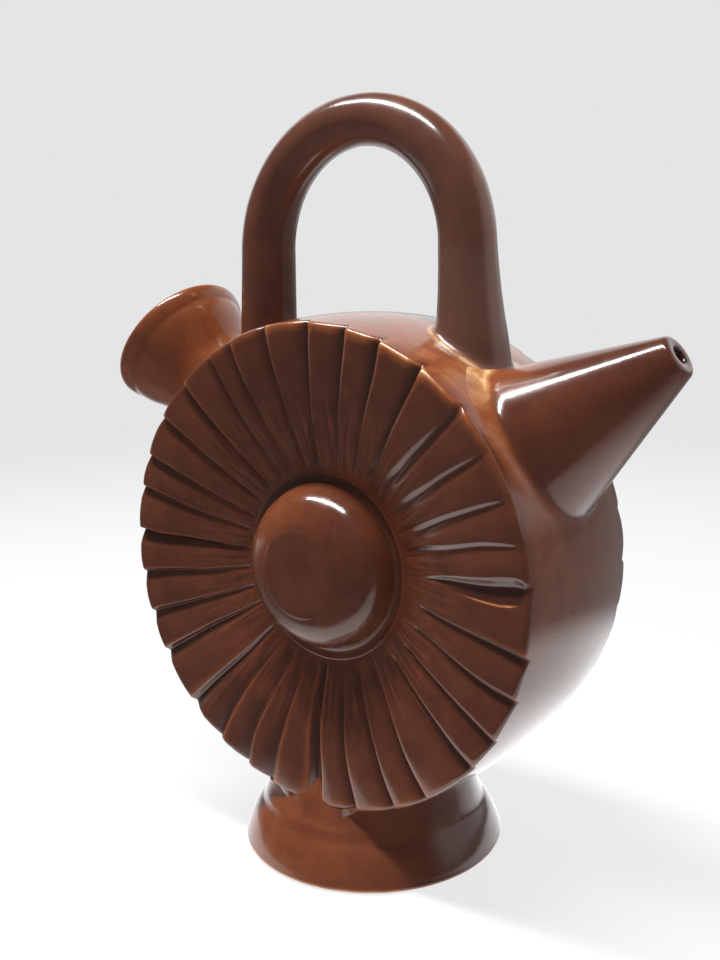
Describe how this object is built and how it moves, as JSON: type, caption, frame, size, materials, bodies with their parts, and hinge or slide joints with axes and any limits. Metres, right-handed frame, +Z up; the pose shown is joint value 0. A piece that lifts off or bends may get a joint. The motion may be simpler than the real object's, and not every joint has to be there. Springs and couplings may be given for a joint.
{
  "type": "botijo water jug",
  "caption": "Wheel-shaped glazed earthenware water jug with gouged, pleated faces, a conical drinking spout, a bell filler mouth, a loop handle and a flared foot.",
  "frame": {"origin": "on the surface that the jug stands on, in its middle plane, midway between the ends of the spout and the filler; the foot's centre is 3 mm from it, towards the filler", "axes": "+Z up; the drum's axis runs along Y with one gouged face towards -Y; the spout points to +X and the filler mouth to -X"},
  "size_m": [0.251, 0.106, 0.293],
  "materials": {
    "glazed_clay": "gloss"
  },
  "bodies": {
    "root": {"drum_wall": "glazed_clay", "front_face": "glazed_clay", "back_face": "glazed_clay", "front_boss": "glazed_clay", "back_boss": "glazed_clay", "foot": "glazed_clay", "spout": "glazed_clay", "filler_mouth": "glazed_clay", "handle": "glazed_clay"}
  },
  "joints": []
}
